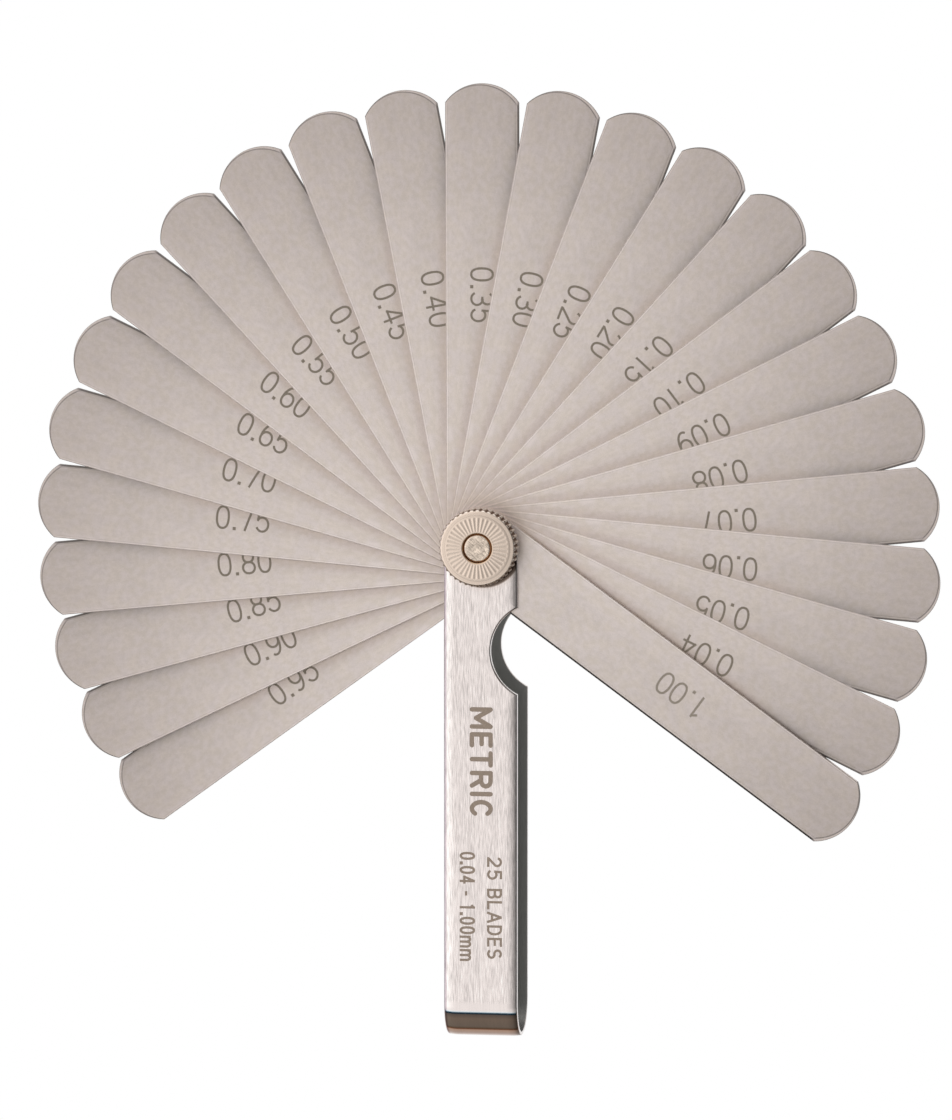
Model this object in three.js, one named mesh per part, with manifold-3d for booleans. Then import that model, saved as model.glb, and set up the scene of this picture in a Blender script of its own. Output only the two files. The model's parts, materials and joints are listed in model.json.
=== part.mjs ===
// Metric feeler gauge: twenty-five thickness blades fanned out of a U-bent holder, on one pivot screw
// with a knurled lock nut. Lengths in millimetres, +Z up the holder, front (nut) side towards -Y.
// Built about the pivot axis (Y), then moved so that the origin lies on the back of the holder.
import * as THREE from 'three';
import { mergeVertices } from 'three/addons/utils/BufferGeometryUtils.js';
import Module from 'manifold-3d';

const wasm = await Module();
wasm.setup();

const { degToRad, radToDeg } = THREE.MathUtils;

// ---------------------------------------------------------------- driving dimensions
// Blades, front to back: nominal thickness and fan angle in degrees (0 = +X, 90 = straight up).
const BLADES = [
  [1.00, -36.1], [0.04, -25.5], [0.05, -14.9], [0.06, -4.3], [0.07, 6.2],
  [0.08, 16.6], [0.09, 27.1], [0.10, 37.5], [0.15, 47.9], [0.20, 58.4],
  [0.25, 68.9], [0.30, 79.5], [0.35, 90.2], [0.40, 100.9], [0.45, 111.7],
  [0.50, 122.5], [0.55, 133.2], [0.60, 144.0], [0.65, 154.6], [0.70, 165.1],
  [0.75, 175.5], [0.80, 185.8], [0.85, 196.0], [0.90, 206.1], [0.95, 216.1],
];
const BLADE_GAP = 0.02;          // running gap on each side of every blade
const BLADE_TIP_REACH = 80.4;    // pivot centre to the apex of the tip
const BLADE_TIP_R = 8.0;         // radius of the tip arc

const STRIP_HALF_W = 6.5;        // blades and holder are both 13 mm wide
const PIVOT_HOLE_R = 2.6;        // M5 clearance, in blades and holder

// Heights are measured from the pivot axis.
const SHEET = 0.8;               // holder sheet thickness
const BEND_Z = -80.5;            // centre of the bottom bend
const NOTCH_X = 10.27;           // thumb notch centre
const NOTCH_Z = -18.3;
const NOTCH_R = 8.48;
const ORIGIN_Z = -60;            // where the origin lies on the back of the holder

const SEAT_GAP = 0.01;           // screw head and nut to the holder

const NUT_H = 3.8;
const NUT_TEETH = 40;
const NUT_PEAK_R = 6.85;
const NUT_VALLEY_R = 6.55;
const NUT_BORE_R = 2.56;

const SHANK_R = 2.5;             // M5 pivot screw
const SCREW_TIP_CHAMFER = 0.4;
const SCREW_TIP_RECESS = 0.1;    // screw tip below the nut's highest point
const HEAD_R = 4.4;
const HEAD_H = 2.0;
const HEAD_CHAMFER = 0.4;
const SLOT_W = 1.2;
const SLOT_DEPTH = 1.1;
const SLOT_ANGLE = 25;           // degrees from +X towards +Z

const CUT_MARGIN = 1;            // how far cutting bodies run past what they cut
const STRIP_TOP_SPARE = 2;       // strip left above the rounded top before it is cut
const CUT_STEP_Z = -1;           // where the cutting outline steps in to the strip's width

const SEGMENTS = {
  bend: 32, holderTop: 28, notch: 64, holderHole: 40,
  bladeTip: 16, bladeRoot: 20, bladeHole: 36, screw: 48,
};

const FINISHES = {
  holder: { color: 0xe2dcd8, roughness: 0.32, metalness: 1.0 },
  blade: { color: 0xc8beb7, roughness: 0.38, metalness: 0.95 },
  screw: { color: 0xcfc3b2, roughness: 0.35, metalness: 1.0 },
  nut: { color: 0xe6d9c4, roughness: 0.33, metalness: 1.0 },
};

// ---------------------------------------------------------------- derived
const STACK = BLADES.reduce((sum, [thickness]) => sum + thickness, 0)
  + (BLADES.length + 1) * BLADE_GAP;
const INNER = STACK / 2;         // inner face of each holder plate, from the middle of the stack
const OUTER = INNER + SHEET;     // outer face of each holder plate
const SEAT = OUTER + SEAT_GAP;   // seat of the head (+Y) and of the nut (-Y)

// ---------------------------------------------------------------- outlines
const point = (x, y) => new THREE.Vector2(x, y);

// Points along an arc, both ends included; angles in degrees.
const arc = (centreX, centreY, radius, from, to, segments) => {
  const points = [];
  for (let i = 0; i <= segments; i++) {
    const angle = degToRad(from + ((to - from) * i) / segments);
    points.push(point(centreX + radius * Math.cos(angle), centreY + radius * Math.sin(angle)));
  }
  return points;
};

const circle = (centreX, centreY, radius, segments) =>
  arc(centreX, centreY, radius, 0, 360, segments).slice(0, segments);

// ---------------------------------------------------------------- solids
const geometryOf = (positions, index) => {
  const geometry = new THREE.BufferGeometry();
  geometry.setAttribute('position', new THREE.Float32BufferAttribute(positions, 3));
  geometry.setIndex(index);
  return geometry;
};

const signedVolume = (positions, index) => {
  const corners = [new THREE.Vector3(), new THREE.Vector3(), new THREE.Vector3()];
  const [a, b, c] = corners;
  let volume = 0;
  for (let i = 0; i < index.length; i += 3) {
    corners.forEach((corner, k) => corner.fromArray(positions, index[i + k] * 3));
    volume += a.dot(b.cross(c)) / 6;
  }
  return volume;
};

// Geometry of a closed skin, turned so that its faces point outwards.
const outward = (positions, index) => {
  if (signedVolume(positions, index) < 0) {
    for (let i = 0; i < index.length; i += 3) {
      [index[i], index[i + 1]] = [index[i + 1], index[i]];
    }
  }
  return geometryOf(positions, index);
};

// Where a point (u, v) of an outline goes at a given depth.
const depthAlongY = (u, v, depth) => [u, depth, v];
const depthAlongX = (u, v, depth) => [depth, u, v];

// A flat outline, with holes, given thickness. Outline and holes are all drawn counter-clockwise.
const prism = (outline, low, high, { holes = [], place = depthAlongY } = {}) => {
  const inner = holes.map((hole) => hole.slice().reverse());
  const points = [...outline, ...inner.flat()];
  const count = points.length;
  const positions = [];
  for (const depth of [low, high]) {
    for (const { x, y } of points) positions.push(...place(x, y, depth));
  }

  const index = [];
  for (const [a, b, c] of THREE.ShapeUtils.triangulateShape(outline, inner)) {
    const [A, B, C] = [points[a], points[b], points[c]];
    const counterClockwise = (B.x - A.x) * (C.y - A.y) - (B.y - A.y) * (C.x - A.x) > 0;
    const [p, q, r] = counterClockwise ? [a, b, c] : [a, c, b];
    index.push(p, q, r, count + p, count + r, count + q);
  }
  let start = 0;
  for (const loop of [outline, ...inner]) {
    for (let i = 0; i < loop.length; i++) {
      const a = start + i;
      const b = start + ((i + 1) % loop.length);
      index.push(a, count + a, count + b, a, count + b, b);
    }
    start += loop.length;
  }
  return outward(positions, index);
};

// Rings of points around the pivot axis joined into a closed skin. Each ring is [radius, y] or,
// for teeth, [radius, y, radius on odd steps, y on odd steps]. With capped, the first and last
// rings are closed on the axis; otherwise the last ring joins back to the first.
const ringed = (rings, steps, { capped }) => {
  const positions = [];
  for (const [radius, y, oddRadius = radius, oddY = y] of rings) {
    for (let i = 0; i < steps; i++) {
      const angle = (2 * Math.PI * i) / steps;
      const odd = i % 2 === 1;
      const r = odd ? oddRadius : radius;
      positions.push(r * Math.cos(angle), odd ? oddY : y, r * Math.sin(angle));
    }
  }

  const index = [];
  const last = rings.length - 1;
  const at = (ring, i) => (ring % rings.length) * steps + (i % steps);
  for (let k = 0; k < (capped ? last : rings.length); k++) {
    for (let i = 0; i < steps; i++) {
      index.push(at(k, i), at(k, i + 1), at(k + 1, i + 1));
      index.push(at(k, i), at(k + 1, i + 1), at(k + 1, i));
    }
  }
  if (capped) {
    const firstCentre = positions.length / 3;
    const lastCentre = firstCentre + 1;
    positions.push(0, rings[0][1], 0, 0, rings[last][1], 0);
    for (let i = 0; i < steps; i++) {
      index.push(firstCentre, at(0, i + 1), at(0, i));
      index.push(lastCentre, at(last, i), at(last, i + 1));
    }
  }
  return outward(positions, index);
};

const toManifold = (geometry) => {
  const welded = mergeVertices(geometry, 1e-5);
  return new wasm.Manifold(
    new wasm.Mesh({
      numProp: 3,
      vertProperties: Float32Array.from(welded.attributes.position.array),
      triVerts: Uint32Array.from(welded.index.array),
    }),
  );
};

const fromManifold = (body) => {
  const mesh = body.getMesh();
  return geometryOf(Array.from(mesh.vertProperties), Array.from(mesh.triVerts));
};

// ---------------------------------------------------------------- pieces
const pieceOf = (name, geometry, finish) => {
  // Unshared vertices let every facet keep its own flat normal.
  const faceted = geometry.toNonIndexed();
  faceted.computeVertexNormals();
  const mesh = new THREE.Mesh(faceted, new THREE.MeshStandardMaterial(finish));
  mesh.name = name;
  return mesh;
};

// One strip bent into a U, both plates cut to one outline.
const makeHolder = () => {
  // The strip's section seen from the side, in Y and Z: front plate, bottom bend, back plate.
  const top = STRIP_HALF_W + STRIP_TOP_SPARE;
  const section = [
    point(-OUTER, top),
    ...arc(0, BEND_Z, OUTER, 180, 360, SEGMENTS.bend),
    point(OUTER, top),
    point(INNER, top),
    ...arc(0, BEND_Z, INNER, 360, 180, SEGMENTS.bend),
    point(-INNER, top),
  ];
  const strip = toManifold(
    prism(section, -STRIP_HALF_W, STRIP_HALF_W, { place: depthAlongX }),
  );

  // The outline clears the strip all round, except at the rounded top.
  const side = STRIP_HALF_W + CUT_MARGIN;
  const bottom = BEND_Z - OUTER - CUT_MARGIN;
  const outline = [
    point(-side, bottom),
    point(side, bottom),
    point(side, CUT_STEP_Z),
    point(STRIP_HALF_W, CUT_STEP_Z),
    ...arc(0, 0, STRIP_HALF_W, 0, 180, SEGMENTS.holderTop),
    point(-STRIP_HALF_W, CUT_STEP_Z),
    point(-side, CUT_STEP_Z),
  ];
  const reach = OUTER + CUT_MARGIN;
  const cutter = (shape) => toManifold(prism(shape, -reach, reach));
  const body = strip
    .intersect(cutter(outline))
    .subtract(cutter(circle(NOTCH_X, NOTCH_Z, NOTCH_R, SEGMENTS.notch)))
    .subtract(cutter(circle(0, 0, PIVOT_HOLE_R, SEGMENTS.holderHole)));
  return pieceOf('holder', fromManifold(body), FINISHES.holder);
};

// Blades lie along +X with a round root at the pivot, and are turned to their fan angles.
const makeBlades = () => {
  const tipHalfAngle = radToDeg(Math.asin(STRIP_HALF_W / BLADE_TIP_R));
  const tipCentre = BLADE_TIP_REACH - BLADE_TIP_R;
  const outline = [
    ...arc(tipCentre, 0, BLADE_TIP_R, -tipHalfAngle, tipHalfAngle, SEGMENTS.bladeTip),
    ...arc(0, 0, STRIP_HALF_W, 90, 270, SEGMENTS.bladeRoot),
  ];
  const holes = [circle(0, 0, PIVOT_HOLE_R, SEGMENTS.bladeHole)];
  let y = -INNER;
  return BLADES.map(([thickness, angle]) => {
    y += BLADE_GAP;
    const geometry = prism(outline, y, y + thickness, { holes });
    y += thickness;
    const label = thickness.toFixed(2).replace('.', '_');
    const blade = pieceOf(`blade_${label}`, geometry, FINISHES.blade);
    blade.rotation.y = -degToRad(angle);
    return blade;
  });
};

// Pivot screw: slotted head at the back, chamfered tip inside the nut.
const makePivotScrew = () => {
  const tip = -(SEAT + NUT_H - SCREW_TIP_RECESS);
  const headTop = SEAT + HEAD_H;
  const profile = [
    [SHANK_R - SCREW_TIP_CHAMFER, tip],
    [SHANK_R, tip + SCREW_TIP_CHAMFER],
    [SHANK_R, SEAT],
    [HEAD_R, SEAT],
    [HEAD_R, headTop - HEAD_CHAMFER],
    [HEAD_R - HEAD_CHAMFER, headTop],
  ];
  const body = ringed(profile, SEGMENTS.screw, { capped: true });

  const halfLength = HEAD_R + CUT_MARGIN;
  const halfWidth = SLOT_W / 2;
  const slotOutline = [
    point(-halfLength, -halfWidth),
    point(halfLength, -halfWidth),
    point(halfLength, halfWidth),
    point(-halfLength, halfWidth),
  ].map((corner) => corner.rotateAround(point(0, 0), degToRad(SLOT_ANGLE)));
  const slot = prism(slotOutline, headTop - SLOT_DEPTH, headTop + CUT_MARGIN);
  const slotted = toManifold(body).subtract(toManifold(slot));
  return pieceOf('pivot_screw', fromManifold(slotted), FINISHES.screw);
};

// Knurled lock nut's section: radius and height above its seat, then, where they differ,
// radius and height on odd steps.
const NUT_PROFILE = [
  [NUT_BORE_R, 0],
  [NUT_BORE_R, 3.6],                         // bore
  [2.78, 3.79],                              // countersink
  [3.0, NUT_H, 3.0, 3.77],                   // shallow radial flutes on a slightly sloping face
  [5.3, 3.71, 5.3, 3.65],
  [5.46, 3.67],
  [5.74, 3.57],                              // step down to a plain band
  [6.4, 3.55],
  [6.56, 3.46],                              // edge chamfer
  [NUT_PEAK_R, 3.1, NUT_VALLEY_R, 3.1],      // knurled rim
  [NUT_PEAK_R, 0.45, NUT_VALLEY_R, 0.45],
  [6.4, 0.1],
  [6.2, 0],
];

// The nut stands on the front plate, its height running towards -Y.
const makeLockNut = () => {
  const rings = NUT_PROFILE.map(([radius, height, oddRadius = radius, oddHeight = height]) => [
    radius, -SEAT - height, oddRadius, -SEAT - oddHeight,
  ]);
  return pieceOf('lock_nut', ringed(rings, NUT_TEETH * 2, { capped: false }), FINISHES.nut);
};

// ---------------------------------------------------------------- assembly
const gauge = new THREE.Group();
gauge.name = 'feeler_gauge';
gauge.position.set(0, -OUTER, -ORIGIN_Z);
gauge.add(makeHolder(), ...makeBlades(), makePivotScrew(), makeLockNut());

export default gauge;
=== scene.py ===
"""A feeler gauge: 25 steel blades fanned out round the pivot of a folded sheet holder.

Shapes are built in millimetres in the pivot frame: the pivot axis is x = z = 0, y = 0 is the
middle of the blade stack, and the front, with the nut, is towards -y. The holder hangs down
from the pivot. Blade angles turn from +x towards +z.
"""
import json
import math

import bpy
import numpy as np
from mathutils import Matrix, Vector
from mathutils.geometry import delaunay_2d_cdt

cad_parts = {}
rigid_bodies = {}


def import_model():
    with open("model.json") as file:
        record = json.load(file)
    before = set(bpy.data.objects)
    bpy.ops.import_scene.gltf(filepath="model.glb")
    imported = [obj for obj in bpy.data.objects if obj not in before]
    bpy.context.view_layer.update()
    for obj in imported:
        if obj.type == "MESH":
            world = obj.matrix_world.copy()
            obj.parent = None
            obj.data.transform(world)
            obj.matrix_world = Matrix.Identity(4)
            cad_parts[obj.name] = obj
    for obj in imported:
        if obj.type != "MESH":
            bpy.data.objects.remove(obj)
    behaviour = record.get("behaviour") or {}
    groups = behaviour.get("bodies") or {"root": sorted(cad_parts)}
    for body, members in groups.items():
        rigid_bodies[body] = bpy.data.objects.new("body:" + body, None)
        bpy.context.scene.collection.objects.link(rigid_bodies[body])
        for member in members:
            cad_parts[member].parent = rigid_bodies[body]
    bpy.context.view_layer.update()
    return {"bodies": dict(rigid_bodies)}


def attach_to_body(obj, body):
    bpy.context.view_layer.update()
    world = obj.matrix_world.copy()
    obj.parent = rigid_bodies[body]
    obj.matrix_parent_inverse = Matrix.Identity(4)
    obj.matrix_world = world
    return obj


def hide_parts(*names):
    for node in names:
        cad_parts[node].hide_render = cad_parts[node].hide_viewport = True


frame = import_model()

# ------------------------------------------------------------------ dimensions, mm
# Front to back: (thickness, angle in degrees)
BLADES = [
    (1.00, -36.1), (0.04, -25.5), (0.05, -14.9), (0.06, -4.3), (0.07, 6.2),
    (0.08, 16.6), (0.09, 27.1), (0.10, 37.5), (0.15, 47.9), (0.20, 58.4),
    (0.25, 68.9), (0.30, 79.5), (0.35, 90.2), (0.40, 100.9), (0.45, 111.7),
    (0.50, 122.5), (0.55, 133.2), (0.60, 144.0), (0.65, 154.6), (0.70, 165.1),
    (0.75, 175.5), (0.80, 185.8), (0.85, 196.0), (0.90, 206.1), (0.95, 216.1),
]
BLADE_GAP = 0.02
HALF_WIDTH = 6.5
TIP_REACH = 80.4                        # pivot to the end of a blade
TIP_RADIUS = 8.0
TIP_CENTRE = TIP_REACH - TIP_RADIUS
TIP_LINE, TIP_LINE_LEAN = 0.30, 0.045   # line along the tip: inset, and its loss per mm across
HOLE_RADIUS = 2.6

SHEET = 0.8                             # holder sheet thickness
BEND_DROP = 80.5                        # pivot down to where the bend begins
NOTCH_X, NOTCH_Z, NOTCH_RADIUS = 10.27, -18.3, 8.48

STACK = sum(blade[0] for blade in BLADES) + (len(BLADES) + 1) * BLADE_GAP
INNER = STACK / 2                       # mid-stack to the holder's inner face
OUTER = INNER + SHEET
MID = (INNER + OUTER) / 2
BEND_RUN = math.pi * MID                # length of the bend along the middle of the sheet
SEAT = 0.01                             # clearance under the nut and the screw head
NUT_HEIGHT = 3.8
TEETH = 40
ORIGIN = (0.0, -OUTER, 60.0)            # the pivot frame's place in the world


def to_metres(points):
    return (np.asarray(points, float) + np.array(ORIGIN)) / 1000.0


def linear_light(level):
    level = level / 255.0
    return level / 12.92 if level <= 0.04045 else ((level + 0.055) / 1.055) ** 2.4


def srgb(red, green, blue):
    return (linear_light(red), linear_light(green), linear_light(blue), 1.0)


def unit(vectors):
    return vectors / np.linalg.norm(vectors, axis=-1, keepdims=True)


def circle(count):
    """Angles and unit points of a circle."""
    angles = np.arange(count) * 2 * math.pi / count
    return angles, np.stack([np.cos(angles), np.sin(angles)], 1)


# ------------------------------------------------------------------ mesh builder
class MeshBuilder:
    """Points in mm with a vector attribute each; faces with corner normals and a material."""

    def __init__(self):
        self.points, self.attributes = [], []
        self.faces, self.normals, self.materials = [], [], []

    def point(self, position, attribute):
        self.points.append(tuple(position))
        self.attributes.append(tuple(attribute))
        return len(self.points) - 1

    def face(self, indices, normals, material=0):
        self.faces.append(list(indices))
        self.normals.append([tuple(normal) for normal in normals])
        self.materials.append(material)

    def band(self, first, second, material=0):
        """Quads between two closed rings, each (indices, normals, ...)."""
        count = len(first[0])
        for i in range(count):
            j = (i + 1) % count
            corners = [(first, i), (first, j), (second, j), (second, i)]
            self.face([ring[0][k] for ring, k in corners],
                      [ring[1][k] for ring, k in corners], material)

    def area_normal(self, face):
        corners = np.array([self.points[i] for i in face])
        spokes = corners[1:] - corners[0]
        return np.cross(spokes[:-1], spokes[1:]).sum(0)

    def turn_to_normals(self):
        """Turn round any face whose corner normals point away from its winding."""
        for i, face in enumerate(self.faces):
            if self.area_normal(face) @ np.sum(np.array(self.normals[i]), 0) < 0:
                self.faces[i] = face[::-1]
                self.normals[i] = self.normals[i][::-1]

    def turn_outwards(self):
        """Make a closed skin look outwards, by the sign of its volume, normals with it."""
        areas = [self.area_normal(face) for face in self.faces]
        volume = sum(np.dot(self.points[face[0]], area) for face, area in zip(self.faces, areas))
        if volume < 0:
            self.faces = [face[::-1] for face in self.faces]
            self.normals = [normals[::-1] for normals in self.normals]
            areas = [-area for area in areas]
        for i, area in enumerate(areas):
            corners = np.array(self.normals[i])
            self.normals[i] = [tuple(n if n @ area >= 0 else -n) for n in corners]

    def build(self, name, materials, attribute_name):
        mesh = bpy.data.meshes.new(name)
        mesh.from_pydata(to_metres(self.points).tolist(), [], self.faces)
        for material in materials:
            mesh.materials.append(material)
        mesh.polygons.foreach_set("material_index", np.array(self.materials, np.int32))
        mesh.polygons.foreach_set("use_smooth", np.ones(len(self.faces), bool))
        attribute = mesh.attributes.new(attribute_name, "FLOAT_VECTOR", "POINT")
        attribute.data.foreach_set("vector", np.array(self.attributes, np.float32).ravel())
        mesh.update()
        mesh.normals_split_custom_set(
            [Vector(normal).normalized() for normals in self.normals for normal in normals])
        return link_object(name, mesh)


def link_object(name, data):
    made = bpy.data.objects.new(name, data)
    bpy.context.scene.collection.objects.link(made)
    return made


# ------------------------------------------------------------------ engraved characters
def arc(centre_x, centre_y, radius_x, radius_y, start, end, steps=18):
    """Points on an ellipse from one angle to another, in degrees."""
    angles = [math.radians(start + (end - start) * i / steps) for i in range(steps + 1)]
    return [(centre_x + radius_x * math.cos(angle), centre_y + radius_y * math.sin(angle))
            for angle in angles]


def oval(centre_x, centre_y, radius_x, radius_y, power, count=36):
    """A closed superellipse; a higher power makes it squarer."""
    points = []
    for i in range(count):
        angle = 2 * math.pi * i / count
        x, y = (math.copysign(abs(part) ** (2 / power), part)
                for part in (math.cos(angle), math.sin(angle)))
        points.append((centre_x + radius_x * x, centre_y + radius_y * y))
    return points


LOOP = "closed loop"
LONG = "ends run on by half a stroke"
CUT = "ends cut square at the point"
STEM = (LONG, [(0, 0), (0, 1)])
FOOT = (LONG, [(0, 0), (1, 0)])
TOP = (LONG, [(0, 1), (1, 1)])

# Each character: (width factor, strokes). A stroke is (kind, centre line in a unit box).
CHARACTERS = {
    "0": (1.0, [(LOOP, oval(0.5, 0.5, 0.5, 0.5, 2.35))]),
    "1": (1.0, [(LONG, [(0.62, 0), (0.62, 1)]), (CUT, [(0.66, 0.985), (0.44, 0.90), (0.20, 0.80)])]),
    "2": (1.0, [(CUT, arc(0.5, 0.70, 0.48, 0.30, 168, -28, 20) + [(0.60, 0.37), (0.02, 0.02)]),
                (LONG, [(0.04, 0), (0.97, 0)])]),
    "3": (1.0, [(CUT, arc(0.48, 0.745, 0.46, 0.255, 155, -90, 20)),
                (CUT, arc(0.48, 0.265, 0.51, 0.265, 90, -158, 22)),
                (CUT, [(0.30, 0.51), (0.50, 0.51)])]),
    "4": (1.06, [(CUT, [(0.74, 1.06), (0.37, 0.64), (-0.02, 0.22)]),
                 (LONG, [(0.04, 0.27), (0.96, 0.27)]), (LONG, [(0.72, 0), (0.72, 0.98)])]),
    "5": (1.0, [(LONG, [(0.18, 1), (0.88, 1)]), (CUT, [(0.16, 1.04), (0.13, 0.80), (0.09, 0.47)]),
                (CUT, arc(0.47, 0.325, 0.51, 0.325, 142, -155, 26))]),
    "6": (1.0, [(LOOP, oval(0.5, 0.315, 0.49, 0.315, 2.1, 30)),
                (CUT, arc(0.60, 0.40, 0.59, 0.60, 184, 62))]),
    "7": (1.0, [(LONG, [(0.04, 1), (0.96, 1)]), (CUT, [(0.98, 1.0), (0.66, 0.5), (0.36, -0.05)])]),
    "8": (1.0, [(LOOP, oval(0.5, 0.755, 0.43, 0.245, 2.1, 28)),
                (LOOP, oval(0.5, 0.262, 0.5, 0.262, 2.1, 32))]),
    "9": (1.0, [(LOOP, oval(0.5, 0.685, 0.49, 0.315, 2.1, 30)),
                (CUT, arc(0.40, 0.60, 0.59, 0.60, 4, -118))]),
    "-": (0.62, [(LONG, [(0.10, 0.40), (0.90, 0.40)])]),
    "m": (1.50, [(LONG, [(0, 0), (0, 0.66)]),
                 (CUT, arc(0.25, 0.44, 0.25, 0.26, 170, 0, 12) + [(0.5, 0.2), (0.5, -0.08)]),
                 (CUT, arc(0.75, 0.44, 0.25, 0.26, 170, 0, 12) + [(1.0, 0.2), (1.0, -0.08)])]),
    "M": (1.20, [STEM, (LONG, [(0.04, 0.95), (0.5, 0.22)]), (LONG, [(0.96, 0.95), (0.5, 0.22)]),
                 (LONG, [(1, 0), (1, 1)])]),
    "E": (0.86, [STEM, TOP, (LONG, [(0, 0.52), (0.88, 0.52)]), FOOT]),
    "T": (0.92, [TOP, (LONG, [(0.5, 0), (0.5, 0.96)])]),
    "R": (0.98, [STEM, (CUT, [(-0.02, 1), (0.3, 1)] + arc(0.58, 0.745, 0.42, 0.255, 88, -88, 14)
                        + [(0.3, 0.49), (0.0, 0.49)]),
                 (LONG, [(0.56, 0.46), (0.96, 0.0)])]),
    "I": (0.10, [(LONG, [(0.5, 0), (0.5, 1)])]),
    "C": (0.98, [(CUT, arc(0.5, 0.5, 0.5, 0.5, 42, 318, 30))]),
    "B": (0.96, [STEM, (CUT, [(0, 1), (0.4, 1)] + arc(0.55, 0.765, 0.40, 0.235, 86, -86, 12)
                        + [(0.4, 0.53), (0, 0.53)]),
                 (CUT, [(0, 0.53), (0.4, 0.53)] + arc(0.58, 0.265, 0.42, 0.265, 84, -84, 12)
                  + [(0.4, 0), (0, 0)])]),
    "L": (0.82, [STEM, FOOT]),
    "A": (1.08, [(LONG, [(0.0, 0.0), (0.47, 0.97)]), (LONG, [(1.0, 0.0), (0.53, 0.97)]),
                 (CUT, [(0.14, 0.30), (0.86, 0.30)])]),
    "D": (0.98, [STEM, (CUT, [(0, 1), (0.35, 1)] + arc(0.48, 0.5, 0.52, 0.5, 84, -84, 20)
                        + [(0.35, 0), (0, 0)])]),
    "S": (0.96, [(CUT, arc(0.5, 0.745, 0.46, 0.255, 28, 262, 20) + [(0.5, 0.498)]
                  + arc(0.5, 0.255, 0.5, 0.255, 82, -152, 20)[1:])]),
}


def offset_line(points, distance):
    """Left and right copies of an open line, mitred at the points."""
    points = np.array(points, float)
    steps = unit(np.diff(points, axis=0))
    tangents = unit(np.vstack([steps[:1], steps[:-1] + steps[1:], steps[-1:]]))
    sideways = np.stack([-tangents[:, 1], tangents[:, 0]], 1)
    arriving = np.vstack([steps[:1], steps])
    cosine = np.abs(np.sum(sideways * np.stack([-arriving[:, 1], arriving[:, 0]], 1), 1))
    shift = sideways * (distance / np.clip(cosine, 0.5, 1.0))[:, None]
    return points + shift, points - shift


def twice_area(loop):
    return abs(sum(x0 * y1 - x1 * y0 for (x0, y0), (x1, y1) in zip(loop, np.roll(loop, -1, 0))))


def stroke_loops(kind, line, width, rounded):
    """Closed outlines of one stroke: [outer] or [outer, inner]."""
    half = width / 2
    if kind == LOOP:
        sides = [side[1:-1] for side in offset_line(line + line[:2], half)]
        return sorted(sides, key=twice_area, reverse=True)
    line = np.array(line, float)
    start_way = unit(line[0] - line[1])
    end_way = unit(line[-1] - line[-2])
    if kind == LONG and not rounded:
        line[0] += start_way * half
        line[-1] += end_way * half
    left, right = offset_line(line, half)
    caps = []
    for (x, y), way in ((line[-1], end_way), (line[0], start_way)):
        heading = math.atan2(way[1], way[0])
        turns = [heading + math.pi / 2 - math.pi * i / 8 for i in range(1, 8)]
        caps.append([(x + half * math.cos(turn), y + half * math.sin(turn))
                     for turn in turns if rounded])
    return [np.array(list(left) + caps[0] + list(right[::-1]) + caps[1])]


def text_loops(text, height, digit_width, stroke, gap, dot_gap,
               rounded=False, length=None, dot=None):
    """Stroke outlines of a line of text centred on (0, 0), reading along +x, tops along +y."""
    dot = dot or stroke * 1.35
    end, placed, last = 0.0, [], None
    for character in text:
        if character == " ":
            end += digit_width * 0.85
            last = None
            continue
        if last is not None:
            end += dot_gap if "." in (character, last) else gap
        if character == ".":
            width = dot
        else:
            width = max(stroke, digit_width * CHARACTERS[character][0])
        placed.append((character, end, width))
        end += width
        last = character
    stretch = length / end if length else 1.0
    centre = np.array([end * stretch / 2, height / 2])
    strokes = []
    for character, start, width in placed:
        start *= stretch
        if character not in ".I":
            width *= stretch
        if character == ".":
            outlines = [[np.array([(start, 0), (start + width, 0), (start + width, width),
                                   (start, width)])]]
        else:
            outlines = []
            for kind, line in CHARACTERS[character][1]:
                line = [(start + stroke / 2 + x * (width - stroke),
                         stroke / 2 + y * (height - stroke)) for x, y in line]
                outlines.append(stroke_loops(kind, line, stroke, rounded))
        strokes += [[loop - centre for loop in outline] for outline in outlines]
    return strokes


def inside(polygon, points):
    """Which points lie inside the polygon, by counting crossings."""
    x, y = points[:, 0], points[:, 1]
    result = np.zeros(len(points), bool)
    for i in range(len(polygon)):
        (x0, y0), (x1, y1) = polygon[i], polygon[i - 1]
        with np.errstate(divide="ignore", invalid="ignore"):
            crossing = (x1 - x0) * (y - y0) / (y1 - y0) + x0
        result ^= ((y0 > y) != (y1 > y)) & (x < crossing)
    return result


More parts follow.
